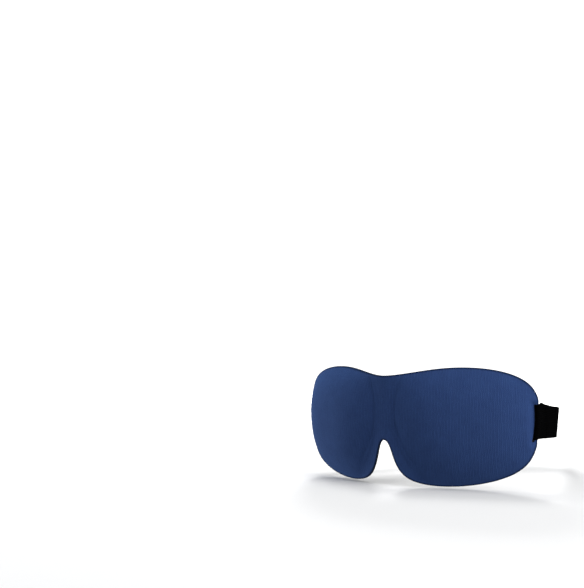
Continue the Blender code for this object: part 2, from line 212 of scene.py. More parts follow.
# Plan of the bent sheet at even places along its curve.
BEND_U = np.arange(0.0, 130.0, BEND_STEP)
BEND_HEADING = heading(BEND_U[:-1] + BEND_STEP / 2)
BEND_X = np.concatenate([[0.0], np.cumsum(np.cos(BEND_HEADING) * BEND_STEP)])
BEND_Y = np.concatenate([[0.0], np.cumsum(np.sin(BEND_HEADING) * BEND_STEP)])
RIM_POINTS = np.array(half_outline(40))


def bent(u, v, height):
    """World points, in millimetres, of pattern points raised off the bent sheet."""
    side = np.where(u < 0.0, -1.0, 1.0)
    across = np.abs(u)
    angle = heading(across)
    x = np.interp(across, BEND_U, BEND_X) + np.where(across > 1e-6, height * np.sin(angle), 0.0)
    y = np.interp(across, BEND_U, BEND_Y) - height * np.cos(angle)
    return np.stack([side * x, y, v], axis=-1)


def to_rim(u, v):
    """Distance of pattern points from the outline."""
    flat = np.stack([np.ravel(u), np.ravel(v)], axis=1)
    best = np.full(len(flat), 1e9)
    for a, b in RIM_POINTS:
        best = np.minimum(best, np.hypot(flat[:, 0] - a, flat[:, 1] - b))
    return best.reshape(np.shape(u))


def foot_line(v):
    """Place of the dome's foot beside the bridge, across the pattern."""
    return FOOT_U + FOOT_CURVE * (v - FOOT_V) ** 2


def inside_outline(u, v):
    """True where a pattern point lies inside the lobe's outline."""
    ring = np.vstack([RIM_POINTS, [[0.0, RIM_POINTS[-1, 1]], [0.0, RIM_POINTS[0, 1]]]])
    inside = np.zeros(np.shape(u), bool)
    for (u0, v0), (u1, v1) in zip(ring, np.roll(ring, -1, axis=0)):
        if v0 == v1:
            continue
        crosses = (v0 > v) != (v1 > v)
        inside ^= crosses & (u < u0 + (u1 - u0) * (v - v0) / (v1 - v0))
    return inside


class DomeField:
    """Shape of a blown dome over the lobe: 0 at its crown and 1 beyond its foot.

    It is a membrane blown up by even pressure and held down outside its foot. Its
    height on the grid is solved by conjugate gradients.
    """

    def __init__(self):
        self.us = np.arange(-6.0, 120.0, GRID_STEP)
        self.vs = np.arange(-48.0, 52.0, GRID_STEP)
        u, v = np.meshgrid(self.us, self.vs, indexing="ij")
        rim = np.where(inside_outline(u, v), 1.0, -1.0) * to_rim(u, v)
        foot = u - foot_line(v)
        load = smoothstep(-0.5, 0.5, np.minimum(rim - RIM_LAND, foot))
        soft = smoothstep(-2.0, -26.0, v) * smoothstep(0.0, 2.0, rim - RIM_LAND)
        hold = (1.0 - load) / (FOOT_FILLET + SOFT_FILLET * soft) ** 2
        height = np.zeros_like(u)
        left = load.copy()
        step = left.copy()
        power = float((left * left).sum())
        while power > 1e-10 * load.size:
            padded = np.pad(step, 1)
            around = padded[2:, 1:-1] + padded[:-2, 1:-1] + padded[1:-1, 2:] + padded[1:-1, :-2]
            pull = (4.0 * step - around) / GRID_STEP**2 + hold * step
            reach = power / float((step * pull).sum())
            height += reach * step
            left -= reach * pull
            new_power = float((left * left).sum())
            step = left + step * (new_power / power)
            power = new_power
        self.share = height / height.max()

    def __call__(self, u, v):
        """Smooth sample of the dome's shape at pattern points."""
        x = (np.asarray(u, float) - self.us[0]) / GRID_STEP
        y = (np.asarray(v, float) - self.vs[0]) / GRID_STEP
        i = np.clip(np.floor(x).astype(int), 1, len(self.us) - 3)
        j = np.clip(np.floor(y).astype(int), 1, len(self.vs) - 3)
        found = 0.0
        for a, wide in enumerate(cubic_weights(x - i)):
            for b, high in enumerate(cubic_weights(y - j)):
                found = found + wide * high * self.share[i + a - 1, j + b - 1]
        return np.sqrt(np.clip(1.0 - found, 0.0, 1.0))


def cubic_weights(t):
    """Catmull-Rom weights of four neighbours, t of the way from the second to the third."""
    return (
        ((2.0 - t) * t - 1.0) * t / 2.0,
        (t * t * (3.0 * t - 5.0) + 2.0) / 2.0,
        ((4.0 - 3.0 * t) * t + 1.0) * t / 2.0,
        (t - 1.0) * t * t / 2.0,
    )


def strap_band(v):
    """1 across the strap's width and 0 away from it."""
    past_edge = np.abs(v - SLOT_Z) - STRAP_HEIGHT / 2
    return 1.0 - smoothstep(BAND_FADE, BAND_END, past_edge)


def bite_back(u, v):
    """Share by which the strap presses the rim's strip flat, from 0 to 1."""
    return strap_band(v) * smoothstep(SLOT_U - BITE_START, SLOT_U - BITE_FULL, u)


def bite_in(u, v):
    """How far the strap pulls the rim inwards."""
    return BITE_IN * strap_band(v) * smoothstep(END_REACH - 3.0, END_REACH, u)


def rim_bow(v):
    """How far the temple rim lies inward of END_REACH at height v."""
    temple = RIM_POINTS[RIM_POINTS[:, 0] > 90.0]
    order = np.argsort(temple[:, 1])
    return END_REACH - np.interp(v, temple[order, 1], temple[order, 0])


class Lobe:
    """Polar grid of one lobe: pattern place, dome share and outward rim normals."""

    def __init__(self, field):
        rim = half_outline(SPOKES_PER_SPAN)
        self.rim_count = len(rim)
        top, notch = rim[0][1], rim[-1][1]
        for k in range(1, BRIDGE_SPOKES):
            rim.append((0.0, notch + (top - notch) * k / BRIDGE_SPOKES))
        rim = np.array(rim)
        rim[:, 0] = np.maximum(rim[:, 0], 0.0)
        land = 1.0 - RIM_BAND / np.hypot(rim[:, :1] - EYE_U, rim[:, 1:])
        inner = (np.arange(1, RINGS + 1) / RINGS) ** 0.85
        outer = np.arange(1, RIM_RINGS + 1) / RIM_RINGS
        along = np.concatenate([inner[None, :] * land, land + (1 - land) * outer], axis=1)
        self.u = EYE_U + (rim[:, :1] - EYE_U) * along
        self.v = rim[:, 1:] * along
        self.s = field(self.u, self.v)
        self.middle = float(field(EYE_U, 0.0))
        self.bite = bite_back(self.u, self.v)
        self.pull = bite_in(self.u, self.v)
        tangent = np.gradient(rim[: self.rim_count], axis=0)
        tangent[0] = (1.0, 0.0)
        tangent[-1] = (-1.0, 0.0)
        tangent /= np.linalg.norm(tangent, axis=1)[:, None]
        self.normal = np.stack([-tangent[:, 1], tangent[:, 0]], axis=1)
        self.rim = rim
        self.edge = to_rim(self.u, self.v)


def dome(s):
    return DOME_HEIGHT * np.maximum(1.0 - s**DOME_POWER, 0.0)


def foam_back_height(s, edge):
    """Height of the foam's face side: the eye cup inside, the pad round it."""
    pad = -RIM_BACK - PAD_BULGE * smoothstep(0.0, PAD_EDGE, edge)
    cup = dome(s) - CUP_WALL
    share = smoothstep(CUP_EDGE, CUP_FOOT, s)
    return cup * (1 - share) + pad * share


def unevenness(u, v, size, seed):
    """Slow wander of a moulded soft surface, between about -1 and 1."""
    found = np.empty(np.shape(u))
    for index in np.ndindex(np.shape(u)):
        place = Vector((u[index] / size, v[index] / size, seed))
        found[index] = noise.noise(place)
    return found


def pattern_attribute(data, values):
    """Each point's place on the flat pattern, which the weave follows."""
    layer = data.attributes.new("pattern", "FLOAT_VECTOR", "POINT")
    layer.data.foreach_set("vector", np.asarray(values, np.float32).ravel())


def edge_attribute(data, values):
    """Each point's distance from the rim, which the pressed edge's shade follows."""
    layer = data.attributes.new("edge", "FLOAT", "POINT")
    layer.data.foreach_set("value", np.asarray(values, np.float32))


def add_object(name, data):
    obj = bpy.data.objects.new(name, data)
    bpy.context.scene.collection.objects.link(obj)
    return obj


def object_from_bmesh(name, mesh):
    data = bpy.data.meshes.new(name)
    mesh.to_mesh(data)
    mesh.free()
    return add_object(name, data)


def make_shell(name, lobe, front, back, centre, round_by):
    """A closed moulded layer with both lobes and a rounded rim.

    front and back are height grids over the lobe, centre their heights at the eye,
    and round_by is how far the rounded rim stands out of the outline.
    """
    verts, pattern, edges, faces = [], [], [], []

    def add(u, v, height, side, edge=0.0):
        point = bent(np.asarray(u, float), np.asarray(v, float), np.asarray(height, float))
        point = np.atleast_2d(point.reshape(-1, 3)).copy()
        point[:, 0] *= side
        start = len(verts)
        verts.extend(point.tolist())
        place = np.stack([side * np.ravel(u), np.ravel(v), 0 * np.ravel(u)], axis=1)
        pattern.extend(place.tolist())
        edges.extend(np.broadcast_to(edge, len(point)).tolist())
        return list(range(start, start + len(point)))

    arc = np.radians(np.linspace(90.0, -90.0, 9)[1:-1])
    for side in (1, -1):
        middle_front = add([EYE_U], [0.0], [centre[0]], side, EYE_TO_RIM)[0]
        middle_back = add([EYE_U], [0.0], [centre[1]], side, EYE_TO_RIM)[0]
        fronts, backs, rims = [], [], []
        for i in range(len(lobe.rim)):
            fronts.append(add(lobe.u[i] - lobe.pull[i], lobe.v[i], front[i], side, lobe.edge[i]))
            backs.append(add(lobe.u[i] - lobe.pull[i], lobe.v[i], back[i], side, lobe.edge[i]))
            if i < lobe.rim_count:
                high, low = front[i][-1], back[i][-1]
                out = round_by * np.cos(arc) ** 0.7
                height = (high + low) / 2 + (high - low) / 2 * np.sin(arc)
                u = lobe.rim[i, 0] - lobe.pull[i, -1] + lobe.normal[i, 0] * out
                v = lobe.rim[i, 1] + lobe.normal[i, 1] * out
                rims.append(add(np.maximum(u, 0.0), v, height, side))
        count = len(lobe.rim)

        def face(*corners):
            faces.append(corners if side > 0 else corners[::-1])

        for i in range(count):
            k = (i + 1) % count
            first, second = fronts[i], fronts[k]
            low_first, low_second = backs[i], backs[k]
            face(middle_front, second[0], first[0])
            face(middle_back, low_first[0], low_second[0])
            for j in range(len(first) - 1):
                face(first[j], second[j], second[j + 1], first[j + 1])
                face(low_first[j], low_first[j + 1], low_second[j + 1], low_second[j])
            if i < lobe.rim_count - 1:
                chain_a = [first[-1]] + rims[i] + [low_first[-1]]
                chain_b = [second[-1]] + rims[k] + [low_second[-1]]
                for j in range(len(chain_a) - 1):
                    face(chain_a[j], chain_b[j], chain_b[j + 1], chain_a[j + 1])
    data = bpy.data.meshes.new(name)
    data.from_pydata([tuple(c * MM for c in p) for p in verts], [], faces)
    pattern_attribute(data, pattern)
    edge_attribute(data, edges)
    mesh = bmesh.new()
    mesh.from_mesh(data)
    seam = [vert for vert in mesh.verts if abs(vert.co.x) < 1e-6]
    bmesh.ops.remove_doubles(mesh, verts=seam, dist=2e-6)
    mesh.to_mesh(data)
    mesh.free()
    return add_object(name, data)


def smooth(obj, degrees):
    """Smooth shading, with edges sharper than this angle left crisp."""
    obj.data.shade_smooth()
    obj.data.set_sharp_from_angle(angle=math.radians(degrees))


def dress(obj, material):
    obj.data.materials.clear()
    obj.data.materials.append(material)


def apply_booleans(obj, steps):
    """Cuts or joins each tool in turn and keeps the result as the object's own mesh."""
    for operation, tool in steps:
        boolean = obj.modifiers.new("Shape", "BOOLEAN")
        boolean.operation = operation
        boolean.object = tool
    graph = bpy.context.evaluated_depsgraph_get()
    data = bpy.data.meshes.new_from_object(obj.evaluated_get(graph))
    obj.modifiers.clear()
    old = obj.data
    obj.data = data
    bpy.data.meshes.remove(old)
    for _, tool in steps:
        bpy.data.objects.remove(tool, do_unlink=True)


def axes_matrix(x_axis, y_axis, z_axis, place):
    """Matrix whose columns are the three axes and the place."""
    made = Matrix.Identity(4)
    for column, entries in enumerate((x_axis, y_axis, z_axis, place)):
        for row in range(3):
            made[row][column] = entries[row]
    return made


# ------------------------------------------------------------- strap's route
def rim_frame(side):
    """Matrix of the temple end: x outwards along the lobe, y to the front, z up."""
    corner = bent(np.array(END_REACH), np.array(0.0), np.array(0.0)) * MM
    angle = float(heading(END_REACH))
    out = (side * math.cos(angle), math.sin(angle), 0.0)
    front = (side * math.sin(angle), -math.cos(angle), 0.0)
    place = (side * float(corner[0]), float(corner[1]), float(corner[2]))
    return axes_matrix(out, front, (0.0, 0.0, 1.0), place)


def rim_point(out, front):
    """Plan point, in millimetres, this far outward and in front of the right temple end."""
    point = rim_frame(1) @ Vector((out * MM, front * MM, 0.0))
    return Vector((point.x / MM, point.y / MM))


STRAP_START = rim_point(STRAP_OUT, 0.0)


def tangent_point():
    """Plan point where the straight side run meets the arc round the back."""
    across, along = STRAP_START.x, BACK_CENTRE_Y - STRAP_START.y
    reach = math.hypot(across, along)
    turn = math.acos(BACK_RADIUS / reach) - math.atan2(along, across)
    place = (BACK_RADIUS * math.cos(turn), BACK_CENTRE_Y + BACK_RADIUS * math.sin(turn))
    return Vector(place)


TANGENT = tangent_point()
RUN_DIRECTION = (TANGENT - STRAP_START).normalized()
RUN_LENGTH = (TANGENT - STRAP_START).length


def strap_height_at(run):
    return SLOT_Z + STRAP_LIFT - STRAP_FALL * max(run, 0.0) / RUN_LENGTH


def run_point(run, inward=0.0):
    normal = Vector((RUN_DIRECTION.y, -RUN_DIRECTION.x))
    return STRAP_START + RUN_DIRECTION * run - normal * inward


def run_frame(run, side):
    """Matrix on the side run: x along the strap, y outwards, z across its width."""
    drop = -STRAP_FALL / RUN_LENGTH
    x_axis = Vector((side * RUN_DIRECTION.x, RUN_DIRECTION.y, drop)).normalized()
    y_axis = Vector((side * RUN_DIRECTION.y, -RUN_DIRECTION.x, 0.0)).normalized()
    z_axis = x_axis.cross(y_axis)
    if z_axis.z < 0.0:
        z_axis.negate()
    place = run_point(run)
    place = Vector((side * place.x, place.y, strap_height_at(run))) * MM
    return axes_matrix(x_axis, y_axis, z_axis, place)


def arc_points(centre, radius, start, end, steps):
    angles = [math.radians(start + (end - start) * k / steps) for k in range(steps + 1)]
    return [(centre[0] + radius * math.cos(a), centre[1] + radius * math.sin(a)) for a in angles]


def hook_route():
    """From behind the slot, over the rim, to the outer leg.

    Each row is a plan point, its height and how far it follows the rim's bow.
    """
    slot = SLOT_U - END_REACH
    path = [(slot, -9.0, 1.0), (slot, -6.0, 1.0), (slot, -3.5, 1.0)]
    bend = (slot + SLOT_TURN, HOOK_FRONT - SLOT_TURN)
    path += [(a, b, 1.0) for a, b in arc_points(bend, SLOT_TURN, 180.0, 90.0, 6)]
    bend = (HOOK_OUT - RIM_TURN, HOOK_FRONT - RIM_TURN)
    path += [(a, b, 1.0) for a, b in arc_points(bend, RIM_TURN, 90.0, 0.0, 6)]
    path += [(HOOK_OUT, -3.5, 1.0), (HOOK_OUT + 0.4, -7.0, 0.7), (HOOK_OUT + 1.3, -12.0, 0.3)]
    found = []
    for k, (a, b, bow) in enumerate(path):
        rise = STRAP_LIFT * max(k - 3, 0) / (len(path) - 4)
        found.append((rim_point(a, b), SLOT_Z + rise, bow))
    return found


def resample(route, step):
    """Even, smoothed stations along a route, their places along it and their bow."""
    rows = np.array([(point[0], point[1], height, bow) for point, height, bow in route], float)
    gaps = np.linalg.norm(np.diff(rows[:, :2], axis=0), axis=1)
    lengths = np.concatenate([[0.0], np.cumsum(gaps)])
    count = max(int(lengths[-1] / step), 2)
    places = np.linspace(0.0, lengths[-1], count + 1)
    found = np.stack([np.interp(places, lengths, column) for column in rows.T], axis=1)
    for _ in range(3):
        found[1:-1] = (found[:-2] + 2 * found[1:-1] + found[2:]) / 4
    return found[:, :3], places, found[:, 3]


def elastic_section():
    """Closed outline of the ribbed elastic: (across the thickness, across the width)."""
    count = RIBS * POINTS_PER_RIB
    side = []
    for k in range(count + 1):
        z = (k / count - 0.5) * (STRAP_HEIGHT - 0.5)
        rib = RIB_DEPTH * math.cos(2 * math.pi * (k / count) * RIBS)
        side.append((STRAP_THICK / 2 - RIB_DEPTH - rib, z))
    edge_out, edge_high = STRAP_THICK * EDGE_SHARE, STRAP_HEIGHT / 2
    top = [(edge_out, edge_high), (-edge_out, edge_high)]
    inner = [(-t, z) for t, z in reversed(side)]
    bottom = [(-edge_out, -edge_high), (edge_out, -edge_high)]
    return side + top + inner + bottom


def make_elastic(name, stations, lengths, bow, lean):
    """A ribbed elastic band along stations.

    bow bends it along the temple rim's curve, and lean tilts its top edge outwards.
    """
    rim_heading = float(heading(END_REACH))
    out_x, out_y = math.cos(rim_heading), math.sin(rim_heading)
    section = elastic_section()
    tangent = np.gradient(stations[:, :2], axis=0)
    tangent /= np.linalg.norm(tangent, axis=1)[:, None]
    normal = np.stack([tangent[:, 1], -tangent[:, 0]], axis=1)
    verts, pattern, faces = [], [], []
    for i, (x, y, z) in enumerate(stations):
        tilt = math.tan(lean[i])
        side = 1.0 if x > 0.0 else -1.0
        for across, up in section:
            shift = across + up * tilt
            inward = bow[i] * float(rim_bow(z + up)) if bow[i] > 0.0 else 0.0
            px = x + normal[i, 0] * shift - side * out_x * inward
            py = y + normal[i, 1] * shift - out_y * inward
            verts.append((px, py, z + up))
            pattern.append((lengths[i], up, across))
    size = len(section)
    for i in range(len(stations) - 1):
        for k in range(size):
            m = (k + 1) % size
            a, b = i * size + k, i * size + m
            faces.append((a, b, b + size, a + size))
    faces.append(tuple(range(size))[::-1])
    faces.append(tuple((len(stations) - 1) * size + k for k in range(size)))
    data = bpy.data.meshes.new(name)
    data.from_pydata([tuple(c * MM for c in p) for p in verts], [], faces)
    pattern_attribute(data, pattern)
    mesh = bmesh.new()
    mesh.from_mesh(data)
    bmesh.ops.recalc_face_normals(mesh, faces=mesh.faces)
    mesh.to_mesh(data)
    mesh.free()
    obj = add_object(name, data)
    smooth(obj, 50.0)
    return obj


# ------------------------------------------------------------------ materials
class Nodes:
    """Short helper around one material's node tree."""

    def __init__(self, name):
        self.material = bpy.data.materials.new(name)
        self.material.use_nodes = True
        self.tree = self.material.node_tree
        self.shader = self.tree.nodes["Principled BSDF"]

    def add(self, kind, **settings):
        node = self.tree.nodes.new(kind)
        for key, value in settings.items():
            setattr(node, key, value)
        return node

    def link(self, a, b):
        self.tree.links.new(a, b)

    def put(self, socket, value):
        if isinstance(value, bpy.types.NodeSocket):
            self.link(value, socket)
        else:
            socket.default_value = value

    def math(self, operation, a, b=0.0, c=0.0):
        node = self.add("ShaderNodeMath", operation=operation)
        for socket, value in zip(node.inputs, (a, b, c)):
            self.put(socket, value)
        return node.outputs[0]

    def pattern(self):
        attribute = self.add("ShaderNodeAttribute", attribute_name="pattern")
        split = self.add("ShaderNodeSeparateXYZ")
        self.link(attribute.outputs["Vector"], split.inputs[0])
        return attribute.outputs["Vector"], split.outputs

    def noise(self, vector, scale, detail=3.0, rough=0.5):
        node = self.add("ShaderNodeTexNoise")
        self.link(vector, node.inputs["Vector"])
        node.inputs["Scale"].default_value = scale
        node.inputs["Detail"].default_value = detail
        node.inputs["Roughness"].default_value = rough
        return node.outputs["Fac"]

    def wave(self, value, pitch):
        return self.math("SINE", self.math("MULTIPLY", value, 2 * math.pi / pitch))

    def ramp(self, fac, stops):
        node = self.add("ShaderNodeValToRGB")
        self.link(fac, node.inputs[0])
        while len(node.color_ramp.elements) < len(stops):
            node.color_ramp.elements.new(0.5)
        for element, (place, colour) in zip(node.color_ramp.elements, stops):
            element.position = place
            element.color = (*colour, 1.0)
        return node.outputs[0]

    def remap(self, value, low, high, new_low, new_high):
        node = self.add("ShaderNodeMapRange")
        for socket, number in zip(node.inputs, (value, low, high, new_low, new_high)):
            self.put(socket, number)
        return node.outputs[0]

    def position(self):
        return self.add("ShaderNodeNewGeometry").outputs["Position"]

    def bump(self, height, distance, strength=1.0):
        node = self.add("ShaderNodeBump")
        node.inputs["Strength"].default_value = strength
        node.inputs["Distance"].default_value = distance
        self.link(height, node.inputs["Height"])
        return node.outputs[0]

    def finish(self, colour, roughness, normal=None, **fixed):
        self.put(self.shader.inputs["Base Color"], colour)
        self.put(self.shader.inputs["Roughness"], roughness)
        if normal is not None:
            self.link(normal, self.shader.inputs["Normal"])
        for key, value in fixed.items():
            self.shader.inputs[key.replace("_", " ")].default_value = value
        return self.material


def knit_material(name, dark, light, wale, course, sheen, tint, distance):
    """Fine warp knit: short broken wales over small V stitches, heathered.

    wale and course are their pitches in millimetres, and distance is their depth in metres.
    """
    nodes = Nodes(name)
    vector, (u, v, _) = nodes.pattern()
    drift = nodes.noise(vector, 0.05, 2.0)
    u = nodes.math("ADD", u, nodes.math("MULTIPLY", drift, 2.5))
    wobble = nodes.noise(vector, 0.22, 2.0)
    u = nodes.math("ADD", u, nodes.math("MULTIPLY", wobble, 1.6))
    coarse = nodes.wave(u, wale)
    column = nodes.math("FRACT", nodes.math("DIVIDE", u, wale / 2))
    off = nodes.math("ABSOLUTE", nodes.math("SUBTRACT", column, 0.5))
    bowl = nodes.math("MULTIPLY", nodes.math("MULTIPLY", off, off), 4.0)
    ridge = nodes.math("SUBTRACT", 1.0, bowl)
    slanted = nodes.math("ADD", v, nodes.math("MULTIPLY", off, 2.0 * course))
    stitch = nodes.wave(slanted, course)
    stretched = nodes.add("ShaderNodeMapping")
    nodes.link(vector, stretched.inputs["Vector"])
    stretched.inputs["Scale"].default_value = (0.5, 0.2, 0.0)
    broken = nodes.noise(stretched.outputs[0], 1.0, 3.0, 0.7)
    coarse = nodes.math("MULTIPLY", coarse, nodes.remap(broken, 0.42, 0.68, 0.0, 1.0))
    stitch = nodes.math("MULTIPLY", stitch, nodes.remap(broken, 0.3, 0.6, 1.0, 0.3))
    height = nodes.math("MULTIPLY_ADD", stitch, 0.4, nodes.math("MULTIPLY", ridge, 0.6))
    height = nodes.math("MULTIPLY_ADD", coarse, 0.5, height)
    fuzz = nodes.noise(vector, 4.5, 4.0, 0.7)
    height = nodes.math("MULTIPLY_ADD", fuzz, 0.5, height)
    cloud = nodes.noise(vector, 0.09, 3.0, 0.55)
    fleck = nodes.noise(vector, 1.3, 2.0, 0.6)
    tone = nodes.math("MULTIPLY_ADD", ridge, 0.1, nodes.math("MULTIPLY", fleck, 0.5))
    tone = nodes.math("MULTIPLY_ADD", coarse, 0.1, tone)
    tone = nodes.math("MULTIPLY_ADD", stitch, 0.06, tone)
    tone = nodes.math("MULTIPLY_ADD", cloud, 0.3, tone)
    colour = nodes.ramp(tone, [(0.1, dark), (0.85, light)])
    edge = nodes.add("ShaderNodeAttribute", attribute_name="edge").outputs["Fac"]
    pressed = nodes.add("ShaderNodeVectorMath", operation="SCALE")
    nodes.link(colour, pressed.inputs[0])
    nodes.link(nodes.remap(edge, 0.2, 1.3, 0.3, 1.0), pressed.inputs["Scale"])
    rough = nodes.remap(fuzz, 0.3, 0.7, 0.78, 0.92)
    normal = nodes.bump(height, distance, 0.8)
    return nodes.finish(
        pressed.outputs[0],
        rough,
        normal,
        Sheen_Weight=sheen,
        Sheen_Roughness=0.42,
        Sheen_Tint=(*tint, 1.0),
        Specular_IOR_Level=0.02,
    )


def elastic_material():
    """Woven elastic: ribs along its length, fine picks across, slight fuzz."""
    nodes = Nodes("black_elastic")
    vector, (along, up, _) = nodes.pattern()
    rib = nodes.wave(up, STRAP_HEIGHT / RIBS)
    picks = nodes.wave(along, 0.8)
    weave = nodes.math("MULTIPLY", nodes.wave(up, STRAP_HEIGHT / RIBS / 2), picks)
    fuzz = nodes.noise(vector, 3.0, 4.0, 0.7)
    height = nodes.math("MULTIPLY_ADD", weave, 0.5, nodes.math("MULTIPLY", fuzz, 0.8))
    tone = nodes.math("MULTIPLY_ADD", weave, 0.18, fuzz)
    tone = nodes.math("MULTIPLY_ADD", rib, 0.2, tone)
    dark, light = (0.0006, 0.0006, 0.0007), (0.0042, 0.0042, 0.0046)
    colour = nodes.ramp(tone, [(0.2, dark), (0.9, light)])
    rough = nodes.remap(fuzz, 0.3, 0.7, 0.6, 0.8)
    normal = nodes.bump(height, 0.00012, 0.8)
    return nodes.finish(colour, rough, normal, Specular_IOR_Level=0.0)


def foam_material():
    """Moulded foam: small pores over fine grain."""
    nodes = Nodes("black_foam")
    place = nodes.position()
    pores = nodes.add("ShaderNodeTexVoronoi")
    nodes.link(place, pores.inputs["Vector"])
    pores.inputs["Scale"].default_value = 2200.0
    grain = nodes.noise(place, 500.0, 3.0)
    height = nodes.math("MULTIPLY_ADD", pores.outputs["Distance"], 0.8, grain)
    dark, light = (0.006, 0.006, 0.008), (0.022, 0.022, 0.026)
    colour = nodes.ramp(height, [(0.2, dark), (1.0, light)])
    return nodes.finish(colour, 0.95, nodes.bump(height, 0.0001), Specular_IOR_Level=0.2)


def plastic_material():
    """Moulded plastic with a fine grain."""
    nodes = Nodes("black_plastic")
    place = nodes.position()
    grain = nodes.noise(place, 2500.0, 3.0)
    cloud = nodes.noise(place, 180.0, 2.0)
    dark, light = (0.007, 0.007, 0.008), (0.012, 0.012, 0.013)
    colour = nodes.ramp(cloud, [(0.3, dark), (0.7, light)])
    rough = nodes.remap(grain, 0.3, 0.7, 0.3, 0.42)
    normal = nodes.bump(grain, 0.00003, 0.5)
    return nodes.finish(colour, rough, normal, Specular_IOR_Level=0.3)


def thread_material():
    """Twisted sewing thread."""
    nodes = Nodes("black_thread")
    place = nodes.position()
    twist = nodes.noise(place, 1800.0, 2.0)
    dark, light = (0.0006, 0.0006, 0.0007), (0.003, 0.003, 0.0034)
    colour = nodes.ramp(twist, [(0.3, dark), (0.7, light)])
    return nodes.finish(colour, 0.8, nodes.bump(twist, 0.00006), Specular_IOR_Level=0.0)


# ------------------------------------------------------------------ the mask
def slot_tool(side, width, height, outward):
    """Cutter for a strap slot: it follows the rim's bow and has rounded ends."""
    mesh = bmesh.new()
    reach_front, depth = -0.02, 0.04
    outline = []
    radius = width / 2
    reach = height / 2 - radius
    for start, sign in ((0.0, 1.0), (180.0, -1.0)):
        for k in range(13):
            angle = math.radians(start + 180.0 * k / 12)
            outline.append((radius * math.cos(angle), sign * reach + radius * math.sin(angle)))
        for k in range(1, 12):
            outline.append((-sign * radius, sign * reach * (1 - k / 6)))
    points = []
    for x, z in outline:
        across = x + SLOT_U + outward - END_REACH - float(rim_bow(z + SLOT_Z))
        points.append((across * MM, reach_front, (z + SLOT_Z) * MM))
    face = mesh.faces.new([mesh.verts.new(point) for point in points])
    grown = bmesh.ops.extrude_face_region(mesh, geom=[face])
    moved = [item for item in grown["geom"] if isinstance(item, bmesh.types.BMVert)]
    bmesh.ops.translate(mesh, verts=moved, vec=(0.0, depth, 0.0))
    bmesh.ops.transform(mesh, matrix=rim_frame(side), verts=mesh.verts)
    bmesh.ops.recalc_face_normals(mesh, faces=mesh.faces)
    return object_from_bmesh("slot_tool", mesh)


def cut_slots(obj, width, height, outward):
    tools = [slot_tool(side, width, height, outward) for side in (1, -1)]
    apply_booleans(obj, [("DIFFERENCE", tool) for tool in tools])


lobe = Lobe(DomeField())
wander = unevenness(lobe.u, lobe.v, WANDER_SIZE, WANDER_SEED)
wander *= WANDER_HEIGHT * smoothstep(0.0, 14.0, lobe.edge)
past_foot = lobe.u - foot_line(lobe.v)
crease = CREASE_RISE * np.exp(-(((past_foot - WELT_PLACE) / CREASE_WIDTH) ** 2))
crease -= CREASE_SINK * np.exp(-(((past_foot - GROOVE_PLACE) / CREASE_WIDTH) ** 2))
crease *= smoothstep(-32.0, -20.0, lobe.v) * smoothstep(0.5, 3.0, lobe.edge)
front_height = (dome(lobe.s) + wander) * (1.0 - lobe.bite) - BITE_BACK * lobe.bite + crease
crown = float(dome(lobe.middle))
cover = make_shell(
    "knit_cover",
    lobe,
    front_height,
    front_height - COVER_THICK,
    (crown, crown - COVER_THICK),
    COVER_ROUND,
)
back_height = foam_back_height(lobe.s, lobe.edge) - BITE_BACK * lobe.bite
foam = make_shell(
    "moulded_foam",
    lobe,
    front_height - FOAM_START,
    back_height,
    (crown - FOAM_START, crown - CUP_WALL),
    FOAM_ROUND,
)
lining = make_shell(
    "knit_lining",
    lobe,
    back_height + LINING_OVERLAP,
    back_height - LINING_THICK,
    (crown - CUP_WALL + LINING_OVERLAP, crown - CUP_WALL - LINING_THICK),
    LINING_ROUND,
)
# Each layer's slot: its width, its height and how far outward it lies. The inner ones
# are narrower and further out, so that no light shows between the strap and the mask.
SLOT_CUTS = ((cover, 1.6, 26.6, 0.0), (foam, 1.25, 26.0, 0.25), (lining, 1.05, 25.2, 0.3))
for shell, width, height, outward in SLOT_CUTS:
    cut_slots(shell, width, height, outward)
    smooth(shell, 60.0)

blue_knit = knit_material(
    "blue_knit",
    dark=(0.022, 0.043, 0.13),
    light=(0.04, 0.083, 0.235),
    wale=2.4,
    course=1.5,
    sheen=0.135,
    tint=(0.1, 0.36, 1.0),
    distance=0.00016,
)
black_knit = knit_material(
    "black_knit",
    dark=(0.003, 0.003, 0.0036),
    light=(0.012, 0.012, 0.014),
    wale=2.0,
    course=1.3,
    sheen=0.05,
    tint=(0.6, 0.7, 0.9),
    distance=0.00018,
)
dress(cover, blue_knit)
dress(foam, foam_material())
dress(lining, black_knit)
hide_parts("front_cover")
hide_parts("foam_core")
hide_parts("lining")
for shell in (cover, foam, lining):
    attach(shell, "mask")

# ----------------------------------------------------------------- the strap
def mirrored(route):
    return [(Vector((-p[0], p[1])), z, bow) for p, z, bow in route]


def layer_row(run, inward=0.0):
    """Route row on the right side run."""
    return run_point(run, inward), strap_height_at(run), 0.0


# One route from the sewn end at the right, through the right slot, round the back and
# through the left slot. Each row is a plan point, its height and its share of the bow.
elastic = elastic_material()
hook = hook_route()
back_start = math.atan2(TANGENT.y - BACK_CENTRE_Y, TANGENT.x)
right_end = [layer_row(SEWN_END, LAYER_PITCH), layer_row(SEWN_START, LAYER_PITCH)]
right_run = [layer_row(run) for run in np.linspace(20.0, RUN_LENGTH, 26)]
back_arc = []
for k in range(1, 24):
    angle = back_start + (math.pi - 2 * back_start) * k / 24
    place = (BACK_RADIUS * math.cos(angle), BACK_CENTRE_Y + BACK_RADIUS * math.sin(angle))
    back_arc.append((Vector(place), strap_height_at(RUN_LENGTH), 0.0))
route = right_end + hook + right_run + back_arc
route += mirrored(right_run[::-1]) + mirrored(hook[::-1]) + mirrored(right_end[:0:-1])
stations, lengths, bow = resample(route, STRAP_STEP)
